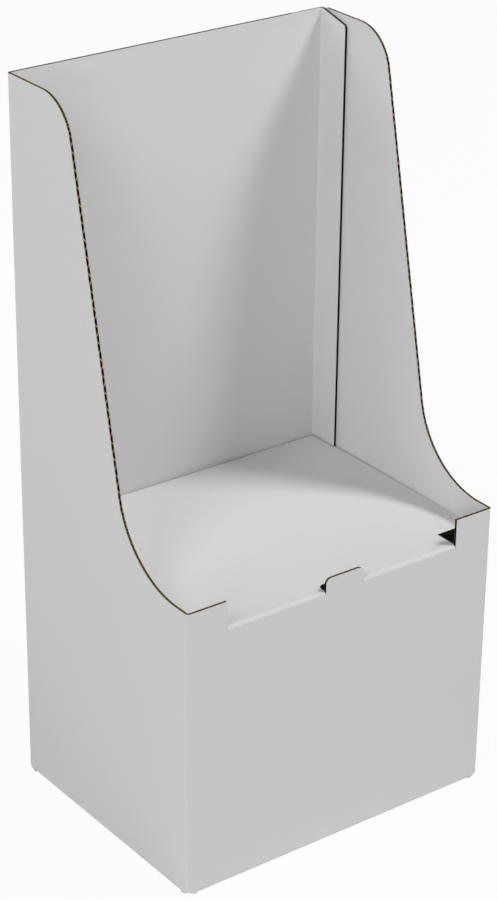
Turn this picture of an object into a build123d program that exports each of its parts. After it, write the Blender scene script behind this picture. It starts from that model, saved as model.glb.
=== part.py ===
from build123d import *
import math
import os

# A display stand folded from one die-cut sheet of white corrugated board.
# The walls are a four-sided tube, joined by a flap glued inside the right wall.
# The front wall's top edge folds back into a shelf, and the shelf's back edge folds
# down into a panel that carries it. Four flaps close the bottom.
# X runs right along the front, Y to the back and Z up. The origin is on the floor,
# at the middle of the footprint. Lengths are in millimetres and angles in degrees.

# Outside sizes of the stand
width = 390.0
depth = 301.0
height = 795.0

# The shelf's top face, and the rise of the ears and the middle tab above it
shelf_height = 302.0
ear_rise = 29.0
tab_rise = 14.0

# The board, its folds, the slack between faces that only lie together, and the die's cut
board = 3.0
fold_inside = 1.0
slack = 0.4
kerf = 0.6

# Inside the board: liners, wall of the fluted layer, and the voids that its waves leave
liner = 0.35
flute_wall = 0.3
flute_pitch = 6.5
flute_mouth = 4.8
flute_floor = 0.9

# Outline of the side walls, from the back: level run, rounded brow, sweep and level run in front
top_run = 63.0
brow_radius = 48.5
sweep_radius = 99.0
front_run = 20.0

# Ears and tab of the front lip
ear_width = 48.0
tab_width = 48.0
tab_corner = 6.5

# Glue flap on the back wall, and how far the right wall's raw edge stops from the corner
glue_reach = 40.0
glue_taper = 10.0
glue_foot = 11.0
glue_corner = 4.0
raw_edge_setback = 6.0

# Bottom flaps: seam under the middle, die-cut relief at the corners, rise of the inner pair
seam_gap = 2.0
relief_run = 11.5
relief_rise = 4.5
ramp_angle = 32.0

# One overrun for every cutting solid
overrun = 10.0

# Sizes that follow from those above
fold_outside = fold_inside + board
fold_middle = fold_inside + board / 2
half_width = width / 2
half_depth = depth / 2
wall_x = half_width - board / 2
wall_y = half_depth - board / 2
ear_edge = half_width - ear_width
ear_height = shelf_height + ear_rise
tab_height = shelf_height + tab_rise
shelf_middle = shelf_height - board / 2
flute_inset = fold_outside + flute_mouth / 2
flute_foot = fold_outside + relief_rise
lower_flap_middle = board / 2
upper_flap_middle = board + slack + board / 2
flap_end = seam_gap / 2


def bent_strip(points, radii):
    """Cross-section of a strip of board that follows the points, one fold radius per corner."""
    return trace(FilletPolyline(*points, radius=radii), line_width=board)


def across_x(section, low, high):
    """Solid of a section drawn in (Y, Z), between two places along X."""
    return Plane.YZ.offset(low) * extrude(section, high - low)


def across_y(section, low, high):
    """Solid of a section drawn in (X, Z), between two places along Y."""
    return Plane.XZ.offset(-low) * extrude(section, low - high)


def block(x_range, y_range, z_range):
    """Straight block between two places along each axis."""
    size = [high - low for low, high in (x_range, y_range, z_range)]
    middle = [(high + low) / 2 for low, high in (x_range, y_range, z_range)]
    return Pos(*middle) * Box(*size)


def flute_row(first, last):
    """Voids of the flutes along X, by turns on either face of the board, with one at each end place."""
    count = round(2 * (last - first) / flute_pitch)
    step = (last - first) / count
    mouth = board / 2 - liner
    floor = flute_wall - mouth
    voids = []
    for index in range(count + 1):
        side = (-1) ** index
        void = Polyline(
            (-flute_mouth / 2, side * mouth),
            (flute_mouth / 2, side * mouth),
            (flute_floor / 2, side * floor),
            (-flute_floor / 2, side * floor),
            close=True,
        )
        voids.append(Pos(first + index * step) * make_face(void))
    return Sketch() + voids


def wall_tube():
    """The four walls at full height, seen from above as one bent strip from the glue flap's hinge."""
    plan = bent_strip(
        [
            (wall_x - board - fold_middle, wall_y),
            (-wall_x, wall_y),
            (-wall_x, -wall_y),
            (wall_x, -wall_y),
            (wall_x, half_depth - raw_edge_setback),
        ],
        fold_middle,
    )
    return extrude(plan, height)


def side_outline():
    """What the side walls keep, in (Y, Z): level top, brow, raked edge, sweep and front lip."""
    brow_start = half_depth - top_run
    sweep_end = -half_depth + front_run
    # The raked edge is the inner tangent of the two arcs
    between = Vector(brow_start - sweep_end, height - brow_radius - ear_height - sweep_radius)
    rake = math.atan2(between.X, between.Y) - math.asin((brow_radius + sweep_radius) / between.length)
    tangent_share = math.tan(math.pi / 4 - rake / 2)
    back_y = half_depth + overrun
    front_y = -half_depth - overrun
    edge = FilletPolyline(
        (back_y, height),
        (brow_start - brow_radius * tangent_share, height),
        (sweep_end + sweep_radius * tangent_share, ear_height),
        (front_y, ear_height),
        radius=[brow_radius, sweep_radius],
    )
    rest = Polyline((front_y, ear_height), (front_y, -overrun), (back_y, -overrun), (back_y, height))
    return make_face(edge + rest)


def wall_flutes():
    """Voids in the back and side walls, the ears and the tab, open wherever the die cut across them."""
    turn = Rot(0, 0, 90)
    half_tab = tab_width / 2
    rows = [
        Pos(0, wall_y) * flute_row(flute_inset - half_width, half_width - board - flute_inset),
        Pos(-wall_x) * turn * flute_row(flute_inset - half_depth, half_depth - flute_inset),
        Pos(wall_x) * turn * flute_row(flute_inset - half_depth, half_depth - raw_edge_setback),
        Pos(0, -wall_y) * flute_row(flute_inset - half_width, -ear_edge),
        Pos(0, -wall_y) * flute_row(-half_tab, half_tab),
        Pos(0, -wall_y) * flute_row(ear_edge, half_width - flute_inset),
    ]
    return [Pos(0, 0, flute_foot) * extrude(row, height + overrun - flute_foot) for row in rows]


def tab_outline(root, tip, gap=0):
    """The middle tab from its root to its tip, with both tip corners rounded, grown by the gap."""
    half = tab_width / 2 + gap
    bent = FilletPolyline(
        (-half, root),
        (-half, tip),
        (half, tip),
        (half, root),
        radius=tab_corner + gap,
    )
    return make_face(bent + Line((half, root), (-half, root)))


def lip_waste():
    """What the die takes off the front wall above the shelf's fold, between ears and tab."""
    fold_start = shelf_height - fold_outside
    top = ear_height + overrun
    waste = Pos(0, (fold_start + top) / 2) * Rectangle(2 * ear_edge, top - fold_start)
    waste -= tab_outline(fold_start, tab_height)
    return across_y(waste, -half_depth - overrun, -half_depth + fold_outside)


def glue_flap():
    """The flap hinged on the back wall and glued inside the right one, tapered at head and foot."""
    free_y = half_depth - board - glue_reach
    hinge_y = half_depth - fold_outside
    flap_x = wall_x - board
    plan = bent_strip([(flap_x, free_y), (flap_x, wall_y), (flap_x - glue_reach, wall_y)], fold_middle)
    taper = Polyline(
        (half_depth, height),
        (hinge_y, height),
        (free_y, height - glue_taper),
        (free_y, glue_foot + glue_taper),
        (hinge_y, glue_foot),
        (half_depth, glue_foot),
        close=True,
    )
    keep = make_face(taper)
    keep = fillet(keep.vertices().group_by(Axis.X)[0], glue_corner)
    flap = extrude(plan, height) & across_x(keep, 0, half_width)
    flutes = Pos(flap_x) * Rot(0, 0, 90) * flute_row(free_y, hinge_y - flute_mouth / 2)
    return flap - extrude(flutes, height)


def corner_relief():
    """Sloped cuts of the die at the four bottom corners, where two flaps and a fold meet."""
    cuts = []
    for side in (-1, 1):
        for length, half, place in ((half_width, half_depth, across_y), (half_depth, half_width, across_x)):
            slope = Polyline(
                (side * (length - relief_run), 0),
                (side * length, relief_rise),
                (side * (length + overrun), relief_rise),
                (side * (length + overrun), -overrun),
                (side * (length - relief_run), -overrun),
                close=True,
            )
            cuts.append(place(make_face(slope), -half - overrun, -half + fold_outside))
            cuts.append(place(make_face(slope), half - fold_outside, half + overrun))
    return cuts


def hinge_clearance():
    """Square foot of each wall, taken off where a bottom flap's fold goes in its place."""
    x_span = (relief_run - half_width, half_width - relief_run)
    y_span = (relief_run - half_depth, half_depth - relief_run)
    z_span = (-overrun, fold_outside)
    return [
        block(x_span, (-half_depth - overrun, board - half_depth), z_span),
        block(x_span, (half_depth - board, half_depth + overrun), z_span),
        block((-half_width - overrun, board - half_width), y_span, z_span),
        block((half_width - board, half_width + overrun), y_span, z_span),
    ]


def walls():
    """The tube of walls, with its edges, lip, glue flap and foot cut as the die cuts them."""
    tube = wall_tube() & across_x(side_outline(), -half_width - overrun, half_width + overrun)
    tube -= lip_waste()
    tube -= wall_flutes()
    tube += glue_flap()
    return tube - (corner_relief() + hinge_clearance())


def shelf_plan():
    """The shelf from above: narrow between the ear notches, slotted by the tab, then full width."""
    notch_y = -half_depth + ear_rise + kerf
    slot_y = -half_depth + tab_rise + kerf
    edge_x = half_width - board - slack
    back_y = half_depth - board - slack
    neck = 2 * (ear_edge - kerf)
    plan = Pos(0, (notch_y - half_depth) / 2) * Rectangle(neck, notch_y + half_depth)
    plan += Pos(0, (notch_y + back_y) / 2) * Rectangle(2 * edge_x, back_y - notch_y)
    plan -= tab_outline(-half_depth - overrun, slot_y, kerf)
    flap_y = half_depth - board - glue_reach - slack
    plan -= Pos(edge_x, (flap_y + back_y) / 2) * Rectangle(2 * board, back_y - flap_y)
    return plan


def shelf_flutes():
    """Voids in the shelf that are open at the ears' notches and at the tab's slot."""
    half_mouth = flute_mouth / 2
    half_slot = tab_width / 2 + kerf
    ear_row = flute_row(ear_edge + half_mouth, half_width - board - slack)
    slot_row = flute_row(half_mouth - half_slot, half_slot - half_mouth)
    rows = [ear_row, mirror(ear_row, Plane.YZ), slot_row]
    front_y = -half_depth + board
    back_y = half_depth - board - slack - fold_outside
    return [across_y(Pos(0, shelf_middle) * row, front_y, back_y) for row in rows]


def shelf_and_support():
    """The shelf with its front fold, its back fold and the panel that carries it."""
    support_y = half_depth - board - slack - board / 2
    foot = 2 * board + 2 * slack
    profile = bent_strip(
        [
            (-wall_y, shelf_height - fold_outside - board),
            (-wall_y, shelf_middle),
            (support_y, shelf_middle),
            (support_y, foot),
        ],
        fold_middle,
    )
    shelf = across_x(profile, -half_width, half_width) & extrude(shelf_plan(), height)
    return shelf - shelf_flutes()


def outer_flaps():
    """Front and back bottom flaps, which lie on the floor and meet at the middle seam."""
    reach = half_width - relief_run
    profile = bent_strip(
        [
            (-wall_y, fold_outside + board),
            (-wall_y, lower_flap_middle),
            (-flap_end, lower_flap_middle),
        ],
        fold_middle,
    )
    front = across_x(profile, -reach, reach)
    return [front, mirror(front, Plane.XZ)]


def inner_flaps():
    """Side bottom flaps, which rise over the outer pair just inside their folds and lie on it."""
    angle = math.radians(ramp_angle)
    rise = fold_middle * (1 + math.sin(angle)) / math.cos(angle)
    crease = lower_flap_middle + fold_middle - rise
    ramp_run = (upper_flap_middle - crease) / math.tan(angle)
    reach = half_depth - relief_run
    profile = bent_strip(
        [
            (-wall_x, fold_outside + board),
            (-wall_x, crease),
            (-wall_x + ramp_run, upper_flap_middle),
            (-half_width + half_depth - flap_end, upper_flap_middle),
        ],
        [fold_middle, fold_middle],
    )
    left = across_y(profile, -reach, reach)
    return [left, mirror(left, Plane.YZ)]


def folded_stand():
    """The whole folded sheet as one solid."""
    sheet = walls() + shelf_and_support()
    for flap in outer_flaps() + inner_flaps():
        sheet += flap
    return sheet


os.makedirs("parts", exist_ok=True)
export_step(folded_stand(), "parts/folded_stand.step")
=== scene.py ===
"""Looks of a cardboard display stand: one folded sheet of white corrugated board.

Every length is in metres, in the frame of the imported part: X runs right along the
front, Y to the back and Z up, and the origin is on the floor under the middle.
The sheet is built as the real one is: strips of board are bent, the die cuts them to
shape, and the voids of the flutes are taken out, so that each cut edge shows the two
liners and the wave between them.
"""

import logging
import math
from dataclasses import dataclass, field
from enum import Enum

import bmesh
import bpy
from mathutils import Matrix, Vector


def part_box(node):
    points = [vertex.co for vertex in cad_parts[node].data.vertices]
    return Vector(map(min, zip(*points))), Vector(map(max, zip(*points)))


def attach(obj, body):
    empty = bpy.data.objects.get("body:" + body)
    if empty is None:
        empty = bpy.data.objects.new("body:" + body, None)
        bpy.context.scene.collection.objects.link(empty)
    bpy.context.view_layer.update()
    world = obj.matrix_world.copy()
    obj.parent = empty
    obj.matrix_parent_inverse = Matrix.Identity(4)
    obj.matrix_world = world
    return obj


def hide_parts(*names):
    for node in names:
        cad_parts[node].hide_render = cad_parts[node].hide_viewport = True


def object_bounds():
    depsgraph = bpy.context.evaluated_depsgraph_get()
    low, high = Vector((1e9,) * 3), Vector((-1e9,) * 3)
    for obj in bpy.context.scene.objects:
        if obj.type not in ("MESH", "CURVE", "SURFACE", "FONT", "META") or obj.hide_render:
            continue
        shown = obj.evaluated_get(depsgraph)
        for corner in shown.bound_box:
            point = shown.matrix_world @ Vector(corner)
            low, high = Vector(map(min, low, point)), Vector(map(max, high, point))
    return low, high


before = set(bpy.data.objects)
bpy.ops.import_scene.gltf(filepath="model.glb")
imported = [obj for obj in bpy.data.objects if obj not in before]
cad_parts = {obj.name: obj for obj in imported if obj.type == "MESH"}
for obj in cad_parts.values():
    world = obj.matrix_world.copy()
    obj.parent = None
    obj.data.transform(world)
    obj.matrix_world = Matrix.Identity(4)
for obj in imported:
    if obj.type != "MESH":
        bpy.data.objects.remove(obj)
CAD_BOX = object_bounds()

LOG = logging.getLogger("display_stand")
NODE = "folded_stand"
BODY = "root"

# Sockets of a Mix node that mixes colours: its factor, A and B, and its result
COLOUR_MIX_INPUTS = (0, 6, 7)
COLOUR_MIX_OUTPUT = 2

Point = tuple[float, float]
Tone = tuple[float, float, float]


@dataclass(frozen=True)
class Board:
    """The corrugated board: its plies, its flutes and how it folds."""

    thickness: float = 0.003
    liner: float = 0.0001
    medium: float = 0.00013
    pitch: float = 0.0035
    mouth: float = 0.00215
    floor: float = 0.00085
    fold_inside: float = 0.001
    slack: float = 0.0004
    kerf: float = 0.0003

    @property
    def half(self) -> float:
        """Half the board's thickness."""
        return self.thickness / 2

    @property
    def core(self) -> float:
        """From the board's middle to the inner face of a liner."""
        return self.half - self.liner

    @property
    def half_mouth(self) -> float:
        """Half the width of a flute where it meets the liner."""
        return self.mouth / 2

    @property
    def fold_outside(self) -> float:
        """Radius of the outer face at a fold."""
        return self.fold_inside + self.thickness

    @property
    def fold_middle(self) -> float:
        """Radius of the middle of the board at a fold."""
        return self.fold_inside + self.half


@dataclass(frozen=True)
class Blank:
    """What the die cuts and where the sheet folds, as sizes of the finished stand."""

    width: float
    depth: float
    height: float
    shelf_height: float = 0.302
    ear_rise: float = 0.029
    tab_rise: float = 0.014
    top_run: float = 0.063
    brow_radius: float = 0.0485
    sweep_radius: float = 0.099
    front_run: float = 0.020
    ear_width: float = 0.048
    tab_width: float = 0.048
    tab_corner: float = 0.0065
    glue_reach: float = 0.040
    glue_taper: float = 0.010
    glue_foot: float = 0.011
    glue_corner: float = 0.004
    raw_edge_setback: float = 0.006
    seam_gap: float = 0.002
    relief_run: float = 0.0115
    relief_rise: float = 0.0045
    shelf_taper: float = 0.0013
    ramp_angle: float = math.radians(32)
    overrun: float = 0.010
    board: Board = field(default_factory=Board)

    @classmethod
    def from_frame(cls) -> "Blank":
        """Sizes of the stand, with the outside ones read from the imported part.

        Returns:
            The blank whose finished stand fills the part's box.
        """
        low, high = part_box(NODE)
        size = high - low
        return cls(width=size.x, depth=size.y, height=size.z)

    @property
    def half_width(self) -> float:
        """From the middle to the outer face of a side wall."""
        return self.width / 2

    @property
    def half_depth(self) -> float:
        """From the middle to the outer face of the front or back wall."""
        return self.depth / 2

    @property
    def wall_x(self) -> float:
        """Middle of a side wall's board."""
        return self.half_width - self.board.half

    @property
    def wall_y(self) -> float:
        """Middle of the front or back wall's board."""
        return self.half_depth - self.board.half

    @property
    def ear_edge(self) -> float:
        """Inner edge of an ear."""
        return self.half_width - self.ear_width

    @property
    def ear_height(self) -> float:
        """Top of the ears."""
        return self.shelf_height + self.ear_rise

    @property
    def tab_height(self) -> float:
        """Top of the middle tab."""
        return self.shelf_height + self.tab_rise

    @property
    def shelf_edge(self) -> float:
        """Side edge of the shelf at its front, just clear of the side wall."""
        return self.half_width - self.board.thickness - self.board.slack

    @property
    def shelf_middle(self) -> float:
        """Middle of the shelf's board."""
        return self.shelf_height - self.board.half


class Ply(Enum):
    """What a face of the sheet shows, and its place among the materials."""

    FACE = 0
    CUT = 1
    # Walls of the flute voids, in near-black paper that is painted shade
    FLUTE = 2
    # Very dark brown faces in the folds' cut-away cores and on the shelf's cut edges: painted shade
    CREASE = 3
    GREY_CUT = 4


class Cut(Enum):
    """How a tool changes the sheet."""

    AWAY = "DIFFERENCE"
    KEEP = "INTERSECT"
    JOIN = "UNION"


class Run(Enum):
    """The axis along which a section is drawn out into a solid."""

    X = 0
    Y = 1
    Z = 2

    def place(self, point: Point, along: float) -> tuple[float, float, float]:
        """A point of the section at a place along this axis.

        Args:
            point: The point in the section's own plane, in the order of the other axes.
            along: The place along this axis.

        Returns:
            The point in the stand's frame.
        """
        values = list(point)
        values.insert(self.value, along)
        return tuple(values)


@dataclass(frozen=True)
class Paper:
    """A paper's two tones, the size of its fibres, how rough it is and how it shines."""

    name: str
    light: Tone
    dark: Tone
    grain: float
    relief: float = 0.00003
    roughness: float = 0.9
    shine: float = 0.0
    fibre_detail: float = 4.0
    relief_strength: float = 0.6
    darkest_noise: float = 0.35
    lightest_noise: float = 0.65

    def material(self) -> bpy.types.Material:
        """Builds the node material of this paper.

        Returns:
            The material, with fibres in colour and in bump on Object coordinates.
        """
        material = bpy.data.materials.new(self.name)
        material.use_nodes = True
        nodes, links = material.node_tree.nodes, material.node_tree.links
        shader = nodes["Principled BSDF"]
        shader.inputs["Roughness"].default_value = self.roughness
        shader.inputs["Specular IOR Level"].default_value = self.shine
        place = nodes.new("ShaderNodeTexCoord")
        fibres = nodes.new("ShaderNodeTexNoise")
        fibres.inputs["Scale"].default_value = 1 / self.grain
        fibres.inputs["Detail"].default_value = self.fibre_detail
        share = nodes.new("ShaderNodeMapRange")
        share.inputs["From Min"].default_value = self.darkest_noise
        share.inputs["From Max"].default_value = self.lightest_noise
        tones = nodes.new("ShaderNodeMix")
        tones.data_type = "RGBA"
        factor, dark, light = (tones.inputs[index] for index in COLOUR_MIX_INPUTS)
        dark.default_value = (*self.dark, 1)
        light.default_value = (*self.light, 1)
        bump = nodes.new("ShaderNodeBump")
        bump.inputs["Strength"].default_value = self.relief_strength
        bump.inputs["Distance"].default_value = self.relief
        links.new(place.outputs["Object"], fibres.inputs["Vector"])
        links.new(fibres.outputs["Fac"], share.inputs["Value"])
        links.new(share.outputs["Result"], factor)
        links.new(tones.outputs[COLOUR_MIX_OUTPUT], shader.inputs["Base Color"])
        links.new(fibres.outputs["Fac"], bump.inputs["Height"])
        links.new(bump.outputs["Normal"], shader.inputs["Normal"])
        return material


@dataclass(frozen=True)
class Finishes:
    """The papers that show, in the order of the plies."""

    papers: tuple[Paper, ...] = (
        Paper(
            "white_liner",
            light=(0.74, 0.74, 0.74),
            dark=(0.73, 0.73, 0.73),
            grain=0.0009,
            relief=0.00002,
            roughness=0.62,
            shine=0.25,
        ),
        Paper("cut_edge", light=(0.68, 0.52, 0.26), dark=(0.44, 0.31, 0.13), grain=0.003),
        # Near-black inside of the flutes is painted shade in the voids; the paper there is kraft brown
        Paper("flute_inside_painted_shade", light=(0.012, 0.006, 0.002), dark=(0.005, 0.002, 0.001), grain=0.002),
        # Very dark brown of the folds' cut-away cores and the shelf's cut edges is painted shade in these
        # recesses and gaps; the kraft itself is lighter
        Paper("painted_shade_dark_brown", light=(0.09, 0.055, 0.025), dark=(0.04, 0.024, 0.01), grain=0.002),
        Paper("grey_cut", light=(0.45, 0.45, 0.44), dark=(0.33, 0.33, 0.32), grain=0.003),
    )
    materials: list[bpy.types.Material] = field(default_factory=list)

    def make(self) -> "Finishes":
        """Builds the materials.

        Returns:
            These finishes, ready to be given to solids and tools.
        """
        self.materials.extend(paper.material() for paper in self.papers)
        return self


@dataclass
class Path:
    """A polyline with a round corner at each inner point."""

    points: list[Point]
    radii: list[float]
    steps: int = 8

    def samples(self) -> list[tuple[Vector, Vector]]:
        """Walks the path.

        Returns:
            Points along it, each with the unit normal on its left.
        """
        corners = [Vector(p) for p in self.points]
        found = [(corners[0], self._left(corners[1] - corners[0]))]
        for before, corner, after, radius in zip(corners, corners[1:], corners[2:], self.radii):
            found.extend(self._arc(corner, corner - before, after - corner, radius))
        found.append((corners[-1], self._left(corners[-1] - corners[-2])))
        return found

    def offset(self, distance: float) -> list[Point]:
        """The path's points moved to its left.

        Args:
            distance: How far, negative to the right.

        Returns:
            One point for each sample.
        """
        return [tuple(point + normal * distance) for point, normal in self.samples()]

    def _arc(
        self, corner: Vector, way_in: Vector, way_out: Vector, radius: float
    ) -> list[tuple[Vector, Vector]]:
        """Samples of the arc that rounds one corner.

        Args:
            corner: Where the two straight runs would meet.
            way_in: Direction of the run before.
            way_out: Direction of the run after.
            radius: Radius of the arc.

        Returns:
            Points of the arc, both tangent points included, with their left normals.
        """
        turn = way_in.angle_signed(way_out) * -1
        side = math.copysign(1, turn)
        start = corner - way_in.normalized() * radius * math.tan(abs(turn) / 2)
        first = self._left(way_in)
        centre = start + first * radius * side
        count = max(2, round(self.steps * abs(turn) / (math.pi / 2)))
        found = []
        for index in range(count + 1):
            normal = first.copy()
            normal.rotate(Matrix.Rotation(turn * index / count, 2))
            found.append((centre - normal * radius * side, normal))
        return found

    @staticmethod
    def _left(way: Vector) -> Vector:
        """Unit normal on the left of a direction."""
        return Vector((-way.y, way.x)).normalized()


@dataclass
class Section:
    """A closed outline, the ply that each of its edges shows, and the ply of its two ends."""

    points: list[Point]
    plies: list[Ply]
    ends: Ply = Ply.CUT

    @classmethod
    def strip(cls, path: Path, board: Board, cut: Ply = Ply.CUT) -> "Section":
        """Cross-section of board bent along a path.

        Args:
            path: The line that the middle of the board follows.
            board: The board, for its thickness.
            cut: What its edges show.

        Returns:
            The section, with its two ends as cut edges.
        """
        left, right = path.offset(board.half), path.offset(-board.half)
        run = [Ply.FACE] * (len(left) - 1) + [cut]
        return cls(left + right[::-1], run + run, cut)

    @classmethod
    def die(cls, points: list[Point], cut: Ply = Ply.CUT) -> "Section":
        """Outline of a cutting tool, which leaves one sort of edge all round.

        Args:
            points: The outline.
            cut: What the edges that it leaves show.

        Returns:
            The section of the tool.
        """
        return cls(points, [cut] * len(points), cut)

    @classmethod
    def crease(cls, centre: Point, start: float, board: Board, steps: int) -> "Section":
        """Crushed core of a right-angled fold, which stops a medium short of the flutes.

        Args:
            centre: Centre of the fold.
            start: Angle at which the fold's arc starts, anticlockwise.
            board: The board, for its plies.
            steps: Straight pieces in the arc.

        Returns:
            The section between the two liners.
        """
        margin = board.medium / board.fold_middle
        sweep = math.pi / 2 - 2 * margin
        turns = [start + margin + sweep * step / steps for step in range(steps + 1)]
        inner, outer = board.fold_inside + board.liner, board.fold_outside - board.liner
        arcs = [(inner, turn) for turn in turns] + [(outer, turn) for turn in reversed(turns)]
        x, y = centre
        points = [(x + r * math.cos(turn), y + r * math.sin(turn)) for r, turn in arcs]
        # Its faces take the very dark brown paper: painted shade in the fold's core
        return cls(points, [Ply.CREASE] * len(points), Ply.CREASE)


class Sheet:
    """A solid of board that tools change one after another."""

    def __init__(self, name: str, finishes: Finishes) -> None:
        """Starts an empty solid.

        Args:
            name: Name of its object.
            finishes: The materials of its plies.
        """
        self.finishes = finishes
        self.object = bpy.data.objects.new(name, bpy.data.meshes.new(name))
        bpy.context.scene.collection.objects.link(self.object)

    @classmethod
    def drawn(cls, section: Section, run: Run, low: float, high: float, finishes: Finishes) -> "Sheet":
        """A section drawn out along an axis into a closed solid.

        Args:
            section: The outline and its plies.
            run: The axis.
            low: Where the solid starts along the axis.
            high: Where it ends.
            finishes: The materials of the plies.

        Returns:
            The solid.
        """
        sheet = cls("solid", finishes)
        mesh = bmesh.new()
        near, far = (
            [mesh.verts.new(run.place(point, along)) for point in section.points] for along in (low, high)
        )
        for index, ply in enumerate(section.plies):
            after = (index + 1) % len(section.points)
            side = mesh.faces.new((near[index], near[after], far[after], far[index]))
            side.material_index = ply.value
        for ring in (near, far):
            mesh.faces.new(ring).material_index = section.ends.value
        bmesh.ops.recalc_face_normals(mesh, faces=mesh.faces)
        mesh.to_mesh(sheet.object.data)
        mesh.free()
        for material in finishes.materials:
            sheet.object.data.materials.append(material)
        return sheet

    def change(self, how: Cut, *tools: "Sheet") -> "Sheet":
        """Applies tools and uses them up.

        Args:
            how: What each tool does.
            tools: The solids to cut, keep or join with.

        Returns:
            This sheet.
        """
        for tool in tools:
            work = self.object.modifiers.new("die", "BOOLEAN")
            work.solver = "MANIFOLD"
            work.material_mode = "TRANSFER"
            work.operation = how.value
            work.object = tool.object
            self.settle()
            bpy.data.objects.remove(tool.object)
        return self

    def settle(self) -> None:
        """Turns the evaluated shape into the object's own plain mesh."""
        graph = bpy.context.evaluated_depsgraph_get()
        mesh = bpy.data.meshes.new_from_object(
            self.object.evaluated_get(graph), preserve_all_data_layers=True, depsgraph=graph
        )
        self.object.modifiers.clear()
        self.object.data = mesh

    def turned(self, matrix: Matrix) -> "Sheet":
        """Moves the mesh itself, so that the object stays at the origin."""
        self.object.data.transform(matrix)
        return self


@dataclass(frozen=True)
class FluteRow:
    """A straight row of flutes in one panel."""

    first: float
    last: float
    length: float
    place: Matrix


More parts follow.
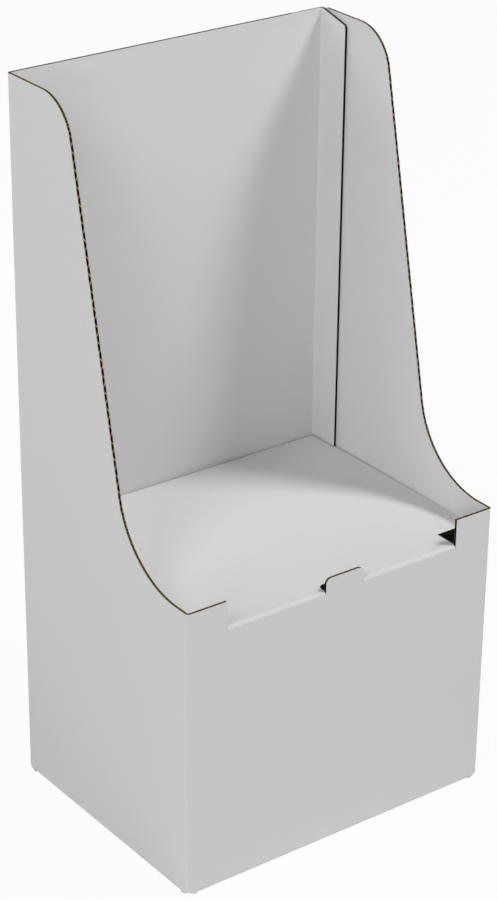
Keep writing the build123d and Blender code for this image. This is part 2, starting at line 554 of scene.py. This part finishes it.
class FluteTree:
    """Geometry Nodes that make the voids of a row of flutes, by turns on either liner."""

    COUNTS = ("Count",)
    LENGTHS = ("Step", "Length", "Half mouth", "Half floor", "Core", "Medium")
    PROFILE_POINTS = 8
    MERGE_SHARE = 0.01

    def __init__(self, board: Board, finishes: Finishes) -> None:
        """Builds the node tree once.

        Args:
            board: Sizes of the flutes.
            finishes: Materials; the flutes' own is set by the tree.
        """
        self.board = board
        self.finishes = finishes
        self.tree = bpy.data.node_groups.new("flute_voids", "GeometryNodeTree")
        self._build()

    def row(self, row: FluteRow) -> Sheet:
        """Makes the voids of one row.

        Args:
            row: Where the row starts and ends across the flutes, and its place in the stand.

        Returns:
            A solid tool in place, one closed shell for each void.
        """
        sheet = Sheet("flutes", self.finishes)
        work = sheet.object.modifiers.new("flutes", "NODES")
        work.node_group = self.tree
        count = round(2 * (row.last - row.first) / self.board.pitch)
        values = {
            "Count": count + 1,
            "Step": (row.last - row.first) / count,
            "Length": row.length,
            "Half mouth": self.board.half_mouth,
            "Half floor": self.board.floor / 2,
            "Core": self.board.core,
            "Medium": self.board.medium,
            # The voids' walls take the near-black paper, which is painted shade
            "Paper": self.finishes.materials[Ply.FLUTE.value],
        }
        for item in self.tree.interface.items_tree:
            if item.in_out == "INPUT" and item.name in values:
                work[item.identifier] = values[item.name]
        sheet.settle()
        mesh = bmesh.new()
        mesh.from_mesh(sheet.object.data)
        bmesh.ops.recalc_face_normals(mesh, faces=mesh.faces)
        mesh.to_mesh(sheet.object.data)
        mesh.free()
        return sheet.turned(row.place @ Matrix.Translation((row.first, 0, 0)))

    def _build(self) -> None:
        """Adds the nodes: one profile, drawn out, set at each step of a line and turned by turns."""
        tree = self.tree
        face = tree.interface
        face.new_socket("Geometry", in_out="INPUT", socket_type="NodeSocketGeometry")
        for name in self.COUNTS:
            face.new_socket(name, in_out="INPUT", socket_type="NodeSocketInt")
        for name in self.LENGTHS:
            face.new_socket(name, in_out="INPUT", socket_type="NodeSocketFloat")
        face.new_socket("Paper", in_out="INPUT", socket_type="NodeSocketMaterial")
        face.new_socket("Geometry", in_out="OUTPUT", socket_type="NodeSocketGeometry")
        self.given = tree.nodes.new("NodeGroupInput").outputs

        circle = self._node("GeometryNodeMeshCircle", fill_type="NGON")
        circle.inputs["Vertices"].default_value = self.PROFILE_POINTS
        shaped = self._node("GeometryNodeSetPosition")
        self._link(circle.outputs["Mesh"], shaped.inputs["Geometry"])
        self._link(self._profile(), shaped.inputs["Position"])

        up = self._node("ShaderNodeCombineXYZ")
        self._link(self.given["Length"], up.inputs["Z"])
        drawn = self._node("GeometryNodeExtrudeMesh", mode="FACES")
        drawn.inputs["Individual"].default_value = False
        self._link(shaped.outputs["Geometry"], drawn.inputs["Mesh"])
        self._link(up.outputs["Vector"], drawn.inputs["Offset"])
        foot = self._node("GeometryNodeFlipFaces")
        self._link(shaped.outputs["Geometry"], foot.inputs["Mesh"])
        both = self._node("GeometryNodeJoinGeometry")
        self._link(drawn.outputs["Mesh"], both.inputs["Geometry"])
        self._link(foot.outputs["Mesh"], both.inputs["Geometry"])
        closed = self._node("GeometryNodeMergeByDistance")
        closed.inputs["Distance"].default_value = self.board.medium * self.MERGE_SHARE
        self._link(both.outputs["Geometry"], closed.inputs["Geometry"])

        line = self._node("GeometryNodeMeshLine")
        step = self._node("ShaderNodeCombineXYZ")
        self._link(self.given["Count"], line.inputs["Count"])
        self._link(self.given["Step"], step.inputs["X"])
        self._link(step.outputs["Vector"], line.inputs["Offset"])
        turn = self._node("ShaderNodeCombineXYZ")
        by_turns = self._maths("MODULO", self._node("GeometryNodeInputIndex").outputs["Index"], 2)
        self._link(self._maths("MULTIPLY", by_turns, math.pi), turn.inputs["Z"])
        placed = self._node("GeometryNodeInstanceOnPoints")
        self._link(line.outputs["Mesh"], placed.inputs["Points"])
        self._link(closed.outputs["Geometry"], placed.inputs["Instance"])
        self._link(turn.outputs["Vector"], placed.inputs["Rotation"])
        real = self._node("GeometryNodeRealizeInstances")
        self._link(placed.outputs["Instances"], real.inputs["Geometry"])
        painted = self._node("GeometryNodeSetMaterial")
        self._link(real.outputs["Geometry"], painted.inputs["Geometry"])
        self._link(self.given["Paper"], painted.inputs["Material"])
        self._link(painted.outputs["Geometry"], self._node("NodeGroupOutput").inputs["Geometry"])

    def _profile(self) -> bpy.types.NodeSocket:
        """Position of each profile point: wide at one liner, narrow where the medium meets the other.

        Returns:
            The vector socket for the Set Position node.
        """
        index = self._node("GeometryNodeInputIndex").outputs["Index"]
        middle = (self.PROFILE_POINTS - 1) / 2
        centred = self._maths("SUBTRACT", self._maths("DIVIDE", index, middle), 1)
        across = self._maths("MULTIPLY", centred, self.given["Half mouth"])
        to_mouth = self._maths("SUBTRACT", self.given["Half mouth"], self._maths("ABSOLUTE", across))
        wall = self._maths("SUBTRACT", self.given["Half mouth"], self.given["Half floor"])
        down = self._maths("MINIMUM", self._maths("DIVIDE", to_mouth, wall), 1)
        double = self._maths("MULTIPLY", self.given["Core"], 2)
        depth = self._maths("SUBTRACT", double, self.given["Medium"])
        height = self._maths("SUBTRACT", self.given["Core"], self._maths("MULTIPLY", down, depth))
        place = self._node("ShaderNodeCombineXYZ")
        self._link(across, place.inputs["X"])
        self._link(height, place.inputs["Y"])
        return place.outputs["Vector"]

    def _node(self, kind: str, **settings: str) -> bpy.types.Node:
        """Adds a node.

        Args:
            kind: Its type.
            settings: Its properties by name.

        Returns:
            The node.
        """
        node = self.tree.nodes.new(kind)
        for name, value in settings.items():
            setattr(node, name, value)
        return node

    def _link(self, source: bpy.types.NodeSocket, target: bpy.types.NodeSocket) -> None:
        """Joins two sockets."""
        self.tree.links.new(source, target)

    def _maths(self, operation: str, *values: bpy.types.NodeSocket | float) -> bpy.types.NodeSocket:
        """Adds a maths node.

        Args:
            operation: Its operation.
            values: Sockets or plain numbers, in order.

        Returns:
            The result's socket.
        """
        node = self._node("ShaderNodeMath", operation=operation)
        for target, value in zip(node.inputs, values):
            if isinstance(value, (int, float)):
                target.default_value = value
            else:
                self._link(value, target)
        return node.outputs["Value"]


@dataclass
class FoldedStand:
    """The whole sheet: walls, glue flap, lip, shelf with its support, and bottom flaps."""

    ARC_STEPS = 8
    OUTLINE_STEPS = 28
    MERGE_DISTANCE = 2e-6
    SHORTEST_EDGE = 1e-6
    CRISP_ANGLE = math.radians(25)

    blank: Blank
    finishes: Finishes
    flutes: FluteTree = field(init=False)

    def __post_init__(self) -> None:
        """Makes the flute tree."""
        self.flutes = FluteTree(self.board, self.finishes)

    @property
    def board(self) -> Board:
        """The board of the whole sheet."""
        return self.blank.board

    def build(self) -> bpy.types.Object:
        """Folds, cuts and joins the sheet.

        Returns:
            The finished piece, at the origin.
        """
        sheet = self.walls()
        LOG.info("walls: %d faces", len(sheet.object.data.polygons))
        sheet.change(Cut.JOIN, self.shelf_and_support())
        LOG.info("with the shelf: %d faces", len(sheet.object.data.polygons))
        sheet.change(Cut.JOIN, *self.bottom_flaps())
        LOG.info("with the bottom: %d faces", len(sheet.object.data.polygons))
        sheet.object.name = "folded_board"
        self._shade(sheet)
        LOG.info("%s: %d faces", sheet.object.name, len(sheet.object.data.polygons))
        return sheet.object

    def walls(self) -> Sheet:
        """The tube of walls, with its edges, lip, glue flap and foot as the die cuts them.

        Returns:
            The sheet that the shelf and the bottom flaps join.
        """
        b, board = self.blank, self.board
        path = Path(
            [
                (b.wall_x - board.thickness - board.fold_middle, b.wall_y),
                (-b.wall_x, b.wall_y),
                (-b.wall_x, -b.wall_y),
                (b.wall_x, -b.wall_y),
                (b.wall_x, b.half_depth - b.raw_edge_setback),
            ],
            [board.fold_middle] * 3,
            self.ARC_STEPS,
        )
        tube = self._drawn(Section.strip(path, board), Run.Z, 0, b.height)
        reach = b.half_width + b.overrun
        tube.change(Cut.KEEP, self._drawn(self._side_outline(), Run.X, -reach, reach))
        tube.change(Cut.AWAY, self._lip_waste(), self._back_trim())
        tube.change(Cut.AWAY, *[self.flutes.row(row) for row in self._wall_rows()])
        tube.change(Cut.AWAY, *self._creases())
        tube.change(Cut.JOIN, self.glue_flap())
        return tube.change(Cut.AWAY, *self._corner_reliefs(), *self._hinge_clearances())

    def glue_flap(self) -> Sheet:
        """The flap hinged on the back wall and glued inside the right one.

        Returns:
            The flap with the piece of back wall that carries it.
        """
        b, board = self.blank, self.board
        free_y = b.half_depth - board.thickness - b.glue_reach
        hinge_y = b.half_depth - board.fold_outside
        flap_x = b.wall_x - board.thickness
        path = Path(
            [(flap_x, free_y), (flap_x, b.wall_y), (flap_x - b.glue_reach, b.wall_y)],
            [board.fold_middle],
            self.ARC_STEPS,
        )
        flap = self._drawn(Section.strip(path, board, Ply.GREY_CUT), Run.Z, 0, b.height)
        outline = Path(
            [
                (b.half_depth, b.height),
                (hinge_y, b.height),
                (free_y, b.height - b.glue_taper),
                (free_y, b.glue_foot + b.glue_taper),
                (hinge_y, b.glue_foot),
                (b.half_depth, b.glue_foot),
            ],
            [0, b.glue_corner, b.glue_corner, 0],
            self.ARC_STEPS,
        )
        outline = Section.die(outline.offset(0), Ply.GREY_CUT)
        flap.change(Cut.KEEP, self._drawn(outline, Run.X, 0, b.half_width))
        row = FluteRow(
            free_y,
            hinge_y - board.half_mouth,
            b.height + b.overrun,
            Matrix.Translation((flap_x, 0, 0)) @ Matrix.Rotation(math.pi / 2, 4, "Z"),
        )
        crease = self._crease((flap_x - board.fold_middle, hinge_y), 0)
        return flap.change(Cut.AWAY, self.flutes.row(row), crease)

    def shelf_and_support(self) -> Sheet:
        """The shelf with its front fold, its back fold and the panel that carries it.

        Returns:
            The solid, from the front wall's fold to the foot of the panel.
        """
        b, board = self.blank, self.board
        support_y = b.half_depth - board.thickness - board.slack - board.half
        path = Path(
            [
                (-b.wall_y, b.shelf_height - board.fold_outside - board.thickness),
                (-b.wall_y, b.shelf_middle),
                (support_y, b.shelf_middle),
                (support_y, 2 * (board.thickness + board.slack)),
            ],
            [board.fold_middle] * 2,
            self.ARC_STEPS,
        )
        shelf = self._drawn(Section.strip(path, board), Run.X, -b.half_width, b.half_width)
        shelf.change(Cut.KEEP, self._drawn(self._shelf_plan(), Run.Z, -b.overrun, b.height))
        return shelf.change(Cut.AWAY, *[self.flutes.row(row) for row in self._shelf_rows()])

    def bottom_flaps(self) -> list[Sheet]:
        """Front and back flaps on the floor, and the side flaps, which rise over them.

        Returns:
            The four flaps, each with its fold.
        """
        b, board = self.blank, self.board
        lower, upper = board.half, board.thickness + board.slack + board.half
        top = board.fold_outside + board.thickness
        lean = math.sin(b.ramp_angle)
        crease = lower + board.fold_middle - board.fold_middle * (1 + lean) / math.cos(b.ramp_angle)
        ramp_end = (upper - crease) / math.tan(b.ramp_angle) - b.wall_x
        half_gap = b.seam_gap / 2
        found = []
        for side in (1, -1):
            outer = [(-b.wall_y * side, top), (-b.wall_y * side, lower), (-half_gap * side, lower)]
            section = Section.strip(Path(outer, [board.fold_middle], self.ARC_STEPS), board)
            reach = b.half_width - b.relief_run
            found.append(self._drawn(section, Run.X, -reach, reach))
            inner = [
                (-b.wall_x * side, top),
                (-b.wall_x * side, crease),
                (ramp_end * side, upper),
                ((b.half_depth - b.half_width - half_gap) * side, upper),
            ]
            section = Section.strip(Path(inner, [board.fold_middle] * 2, self.ARC_STEPS), board)
            reach = b.half_depth - b.relief_run
            found.append(self._drawn(section, Run.Y, -reach, reach))
        return found

    def _drawn(self, section: Section, run: Run, low: float, high: float) -> Sheet:
        """A section drawn out in this stand's papers."""
        return Sheet.drawn(section, run, low, high, self.finishes)

    def _side_outline(self) -> Section:
        """What the side walls keep, in (Y, Z): level top, brow, raked edge, sweep and lip.

        Returns:
            The section of the tool that keeps them.
        """
        b = self.blank
        brow_start = b.half_depth - b.top_run
        sweep_end = b.front_run - b.half_depth
        between = Vector((brow_start - sweep_end, b.height - b.brow_radius - b.ear_height - b.sweep_radius))
        lean = math.asin((b.brow_radius + b.sweep_radius) / between.length)
        rake = math.atan2(between.x, between.y) - lean
        share = math.tan(math.pi / 4 - rake / 2)
        back_y, front_y = b.half_depth + b.overrun, -b.half_depth - b.overrun
        edge = Path(
            [
                (back_y, b.height),
                (brow_start - b.brow_radius * share, b.height),
                (sweep_end + b.sweep_radius * share, b.ear_height),
                (front_y, b.ear_height),
            ],
            [b.brow_radius, b.sweep_radius],
            self.OUTLINE_STEPS,
        )
        return Section.die(edge.offset(0) + [(front_y, -b.overrun), (back_y, -b.overrun)])

    def _tab_outline(self, root: float, tip: float, gap: float = 0) -> list[Point]:
        """The middle tab with its round corners.

        Args:
            root: Where the tab starts.
            tip: Where it ends.
            gap: How much it is grown all round.

        Returns:
            Its outline.
        """
        half = self.blank.tab_width / 2 + gap
        bent = Path(
            [(-half, root), (-half, tip), (half, tip), (half, root)],
            [self.blank.tab_corner + gap] * 2,
            self.ARC_STEPS,
        )
        return bent.offset(0)

    def _lip_waste(self) -> Sheet:
        """What the die takes off the front wall above the shelf's fold, round the tab.

        Returns:
            The tool that takes it away.
        """
        b = self.blank
        fold_start = b.shelf_height - self.board.fold_outside
        top = b.ear_height + b.overrun
        tab = self._tab_outline(fold_start, b.tab_height)
        left = [(-b.ear_edge, top), (-b.ear_edge, fold_start)]
        right = [(b.ear_edge, fold_start), (b.ear_edge, top)]
        low, high = -b.half_depth - b.overrun, self.board.fold_outside - b.half_depth
        return self._drawn(Section.die(left + tab + right), Run.Y, low, high)

    def _back_trim(self) -> Sheet:
        """A hair off the back wall's top, where the board shows a greyer edge.

        Returns:
            The tool that takes it away.
        """
        b = self.blank
        low, high = b.half_depth - self.board.thickness, b.half_depth + b.overrun
        top, bottom = b.height + b.overrun, b.height - self.board.liner / 2
        trim = Section.die([(low, top), (low, bottom), (high, bottom), (high, top)], Ply.GREY_CUT)
        reach = b.half_width + b.overrun
        return self._drawn(trim, Run.X, -reach, reach)

    def _shelf_plan(self) -> Section:
        """The shelf from above: a neck between the ears, the tab's slot, then a slight taper.

        Returns:
            The section of the tool that keeps it.
        """
        b, board = self.blank, self.board
        notch_y = b.ear_rise + board.kerf - b.half_depth
        slot_y = b.tab_rise + board.kerf - b.half_depth
        front_x, back_x = b.shelf_edge, b.shelf_edge - b.shelf_taper
        back_y = b.half_depth + b.overrun
        front_y = -b.half_depth - b.overrun
        neck = b.ear_edge - board.kerf
        flap_y = b.half_depth - board.thickness - b.glue_reach - board.slack
        slot = self._tab_outline(front_y, slot_y, board.kerf)
        return Section.die(
            [(-neck, front_y)]
            + slot
            + [
                (neck, front_y),
                (neck, notch_y),
                (front_x, notch_y),
                (back_x, flap_y),
                (back_x - board.thickness, flap_y),
                (back_x - board.thickness, back_y),
                (-back_x, back_y),
                (-front_x, notch_y),
                (-neck, notch_y),
            ],
            # The shelf's cut edges take the very dark brown paper: painted shade along its edges, notches
            # and slot
            Ply.CREASE,
        )

    def _wall_rows(self) -> list[FluteRow]:
        """Flutes of the back and side walls, the ears and the tab.

        Returns:
            One row for each straight panel.
        """
        b, board = self.blank, self.board
        inset = board.fold_outside + board.half_mouth
        foot = board.fold_outside + b.relief_rise
        length = b.height + b.overrun - foot
        turn = Matrix.Rotation(math.pi / 2, 4, "Z")
        back = Matrix.Translation((0, b.wall_y, foot))
        front = Matrix.Translation((0, -b.wall_y, foot))
        left = Matrix.Translation((-b.wall_x, 0, foot)) @ turn
        right = Matrix.Translation((b.wall_x, 0, foot)) @ turn
        half_tab = b.tab_width / 2
        return [
            FluteRow(inset - b.half_width, b.half_width - board.thickness - inset, length, back),
            FluteRow(inset - b.half_depth, b.half_depth - inset, length, left),
            FluteRow(inset - b.half_depth, b.half_depth - b.raw_edge_setback, length, right),
            FluteRow(inset - b.half_width, -b.ear_edge, length, front),
            FluteRow(-half_tab, half_tab, length, front),
            FluteRow(b.ear_edge, b.half_width - inset, length, front),
        ]

    def _shelf_rows(self) -> list[FluteRow]:
        """Flutes of the shelf that are open at the ears' notches and at the tab's slot.

        Returns:
            One row behind each ear and one behind the tab.
        """
        b, board = self.blank, self.board
        edge_x = b.shelf_edge
        half_slot = b.tab_width / 2 + board.kerf - board.half_mouth
        front_y = board.thickness - b.half_depth
        back_y = b.half_depth - board.thickness - board.slack - board.fold_outside
        place = Matrix.Translation((0, front_y, b.shelf_middle)) @ Matrix.Rotation(-math.pi / 2, 4, "X")
        ear_start = b.ear_edge + board.half_mouth
        spans = [(-edge_x, -ear_start), (-half_slot, half_slot), (ear_start, edge_x)]
        return [FluteRow(first, last, back_y - front_y, place) for first, last in spans]

    def _crease(self, centre: Point, start: float) -> Sheet:
        """Crushed core of one upright fold, over the full height.

        Args:
            centre: Centre of the fold, from above.
            start: Angle at which the fold's arc starts, anticlockwise.

        Returns:
            The tool that makes it.
        """
        section = Section.crease(centre, start, self.board, self.ARC_STEPS)
        foot = self.board.fold_outside + self.blank.relief_rise
        return self._drawn(section, Run.Z, foot, self.blank.height + self.blank.overrun)

    def _creases(self) -> list[Sheet]:
        """Crushed cores of the three upright folds between the walls.

        Returns:
            One tool for each fold.
        """
        x = self.blank.half_width - self.board.fold_outside
        y = self.blank.half_depth - self.board.fold_outside
        folds = (((-x, y), math.pi / 2), ((-x, -y), math.pi), ((x, -y), -math.pi / 2))
        return [self._crease(centre, start) for centre, start in folds]

    def _corner_reliefs(self) -> list[Sheet]:
        """Sloped cuts at the four bottom corners, where two flaps and a fold meet.

        Returns:
            The tools, two for each corner.
        """
        b, board = self.blank, self.board
        walls = ((b.half_width, b.half_depth, Run.Y), (b.half_depth, b.half_width, Run.X))
        found = []
        for side in (-1, 1):
            for length, half, run in walls:
                slope = [
                    (side * (length - b.relief_run), 0),
                    (side * length, b.relief_rise),
                    (side * (length + b.overrun), b.relief_rise),
                    (side * (length + b.overrun), -b.overrun),
                    (side * (length - b.relief_run), -b.overrun),
                ]
                for low, high in (
                    (-half - b.overrun, board.fold_outside - half),
                    (half - board.fold_outside, half + b.overrun),
                ):
                    found.append(self._drawn(Section.die(slope), run, low, high))
        return found

    def _hinge_clearances(self) -> list[Sheet]:
        """Square foot of each wall, taken off where a bottom flap's fold goes in its place.

        Returns:
            The tools, one for each wall.
        """
        b, board = self.blank, self.board
        walls = ((b.half_width, b.half_depth, Run.Y), (b.half_depth, b.half_width, Run.X))
        found = []
        for length, half, run in walls:
            reach = length - b.relief_run
            foot = [
                (-reach, -b.overrun),
                (reach, -b.overrun),
                (reach, board.fold_outside),
                (-reach, board.fold_outside),
            ]
            inner = half - board.thickness
            found.append(self._drawn(Section.die(foot), run, -half - b.overrun, -inner))
            found.append(self._drawn(Section.die(foot), run, inner, half + b.overrun))
        return found

    def _shade(self, sheet: Sheet) -> None:
        """Cleans the mesh and gives it smooth folds beside flat walls and crisp cut edges.

        Args:
            sheet: The finished sheet.
        """
        mesh = bmesh.new()
        mesh.from_mesh(sheet.object.data)
        bmesh.ops.remove_doubles(mesh, verts=mesh.verts, dist=self.MERGE_DISTANCE)
        bmesh.ops.dissolve_degenerate(mesh, edges=mesh.edges, dist=self.SHORTEST_EDGE)
        for face in mesh.faces:
            face.smooth = True
        for edge in mesh.edges:
            edge.smooth = len(edge.link_faces) == 2 and edge.calc_face_angle() < self.CRISP_ANGLE
        LOG.info("open edges: %d", sum(len(edge.link_faces) != 2 for edge in mesh.edges))
        mesh.to_mesh(sheet.object.data)
        mesh.free()
        normals = sheet.object.modifiers.new("normals", "WEIGHTED_NORMAL")
        normals.keep_sharp = True
        sheet.settle()


@dataclass(frozen=True)
class Lamp:
    """A round soft lamp, given by where it stands and the light it gives."""

    name: str
    azimuth: float
    elevation: float
    light: float
    distance: float = 6.0
    size: float = 2.2

    @property
    def way(self) -> Vector:
        """Unit vector towards the lamp. Azimuth 0 is the front and 90 the right.

        Returns:
            The vector, from what the lamp lights.
        """
        azimuth, elevation = math.radians(self.azimuth), math.radians(self.elevation)
        level = math.cos(elevation)
        return Vector((math.sin(azimuth) * level, -math.cos(azimuth) * level, math.sin(elevation)))

    def place(self, target: Vector) -> bpy.types.Object:
        """Adds the lamp, aimed at the target.

        Args:
            target: The point that it lights.

        Returns:
            The light object.
        """
        data = bpy.data.lights.new(self.name, "AREA")
        data.shape = "DISK"
        data.size = self.size
        # A disk's light at its distance, set so that a facing sheet gets the stated share
        data.energy = self.light * math.pi**2 * self.distance**2
        lamp = bpy.data.objects.new(self.name, data)
        bpy.context.scene.collection.objects.link(lamp)
        lamp.location = target + self.way * self.distance
        lamp.rotation_mode = "QUATERNION"
        lamp.rotation_quaternion = self.way.to_track_quat("Z", "Y")
        return lamp


@dataclass(frozen=True)
class Studio:
    """Floor, world, lamps and the camera at the photograph's viewing angle."""

    camera_at: tuple[float, float, float] = (-1.46578, -1.94062, 1.58155)
    camera_azimuth: float = math.radians(36.93)
    camera_elevation: float = math.radians(27.17)
    camera_roll: float = math.radians(0.656)
    lens: float = 104.68
    shift: Point = (-0.0024, 0.0577)
    sight: float = 50.0
    world_light: float = 0.01
    floor_size: float = 12.0
    floor_drop: float = 0.0004
    floor_paint: Tone = (0.8, 0.8, 0.8)
    floor_white: float = 0.95
    lamps: tuple[Lamp, ...] = (
        Lamp("key", azimuth=52.5, elevation=53.0, light=0.578, size=1.6),
        Lamp("back", azimuth=202.5, elevation=40.0, light=0.24),
        Lamp("left", azimuth=292.5, elevation=40.0, light=0.256),
        Lamp("right", azimuth=67.5, elevation=40.0, light=0.058),
        Lamp("low_left", azimuth=270.0, elevation=10.0, light=0.119),
        Lamp("low_front", azimuth=315.0, elevation=10.0, light=0.128),
        Lamp("front", azimuth=0.0, elevation=25.0, light=0.062, distance=3.0, size=3.0),
    )

    def build(self) -> None:
        """Adds everything that isn't part of the stand."""
        bpy.context.scene.view_settings.view_transform = "Standard"
        self.world()
        self.floor()
        middle = Vector((0, 0, (CAD_BOX[0].z + CAD_BOX[1].z) / 2))
        for lamp in self.lamps:
            lamp.place(middle)
            LOG.info("lamp %s", lamp.name)
        self.camera()

    def world(self) -> None:
        """A plain sky: white where it is seen or mirrored, and softer as light."""
        world = bpy.data.worlds.new("studio")
        bpy.context.scene.world = world
        world.use_nodes = True
        nodes, links = world.node_tree.nodes, world.node_tree.links
        nodes.clear()
        output = nodes.new("ShaderNodeOutputWorld")
        sky = nodes.new("ShaderNodeBackground")
        sky.inputs["Color"].default_value = (1, 1, 1, 1)
        strength = nodes.new("ShaderNodeMapRange")
        strength.inputs["To Min"].default_value = self.world_light
        strength.inputs["To Max"].default_value = 1
        links.new(self._seen(nodes, links), strength.inputs["Value"])
        links.new(strength.outputs["Result"], sky.inputs["Strength"])
        links.new(sky.outputs["Background"], output.inputs["Surface"])

    def floor(self) -> bpy.types.Object:
        """A plain pale floor under the stand.

        Returns:
            The floor object.
        """
        mesh = bpy.data.meshes.new("floor")
        half = self.floor_size / 2
        corners = [(-half, -half, 0), (half, -half, 0), (half, half, 0), (-half, half, 0)]
        mesh.from_pydata(corners, [], [range(len(corners))])
        floor = bpy.data.objects.new("floor", mesh)
        floor.location.z = -self.floor_drop
        bpy.context.scene.collection.objects.link(floor)
        material = bpy.data.materials.new("pale_floor")
        material.use_nodes = True
        nodes, links = material.node_tree.nodes, material.node_tree.links
        nodes.clear()
        output = nodes.new("ShaderNodeOutputMaterial")
        paint = nodes.new("ShaderNodeBsdfDiffuse")
        paint.inputs["Color"].default_value = (*self.floor_paint, 1)
        white = nodes.new("ShaderNodeEmission")
        share = nodes.new("ShaderNodeMath")
        share.operation = "MULTIPLY"
        share.inputs[1].default_value = self.floor_white
        mixed = nodes.new("ShaderNodeMixShader")
        links.new(self._seen(nodes, links), share.inputs[0])
        links.new(share.outputs["Value"], mixed.inputs["Fac"])
        links.new(paint.outputs["BSDF"], mixed.inputs[1])
        links.new(white.outputs["Emission"], mixed.inputs[2])
        links.new(mixed.outputs["Shader"], output.inputs["Surface"])
        mesh.materials.append(material)
        return floor

    def camera(self) -> None:
        """The camera at the photograph's place, turned and shifted as it was framed."""
        azimuth, elevation, roll = self.camera_azimuth, self.camera_elevation, self.camera_roll
        level = math.cos(elevation)
        forward = Vector((math.sin(azimuth) * level, math.cos(azimuth) * level, -math.sin(elevation)))
        right = Vector((math.cos(azimuth), -math.sin(azimuth), 0))
        right.rotate(Matrix.Rotation(-roll, 3, forward))
        up = right.cross(forward)
        data = bpy.data.cameras.new("camera")
        data.lens = self.lens
        data.shift_x, data.shift_y = self.shift
        data.clip_end = self.sight
        camera = bpy.data.objects.new("camera", data)
        turned = Matrix((right, up, -forward)).transposed().to_4x4()
        camera.matrix_world = Matrix.Translation(self.camera_at) @ turned
        bpy.context.scene.collection.objects.link(camera)
        bpy.context.scene.camera = camera

    @staticmethod
    def _seen(nodes: bpy.types.Nodes, links: bpy.types.NodeLinks) -> bpy.types.NodeSocket:
        """One for rays from the camera, mirrors and glass, else zero.

        Args:
            nodes: The nodes of the tree that uses it.
            links: The same tree's links.

        Returns:
            The socket of the value.
        """
        path = nodes.new("ShaderNodeLightPath")
        first = nodes.new("ShaderNodeMath")
        first.operation = "MAXIMUM"
        second = nodes.new("ShaderNodeMath")
        second.operation = "MAXIMUM"
        links.new(path.outputs["Is Camera Ray"], first.inputs[0])
        links.new(path.outputs["Is Glossy Ray"], first.inputs[1])
        links.new(first.outputs["Value"], second.inputs[0])
        links.new(path.outputs["Is Transmission Ray"], second.inputs[1])
        return second.outputs["Value"]


def main() -> None:
    """Builds the stand, then the studio."""
    logging.basicConfig(level=logging.INFO, format="%(name)s: %(message)s")
    stand = FoldedStand(Blank.from_frame(), Finishes().make())
    piece = stand.build()
    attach(piece, BODY)
    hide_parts(NODE)
    Studio().build()


if __name__ == "__main__":
    main()
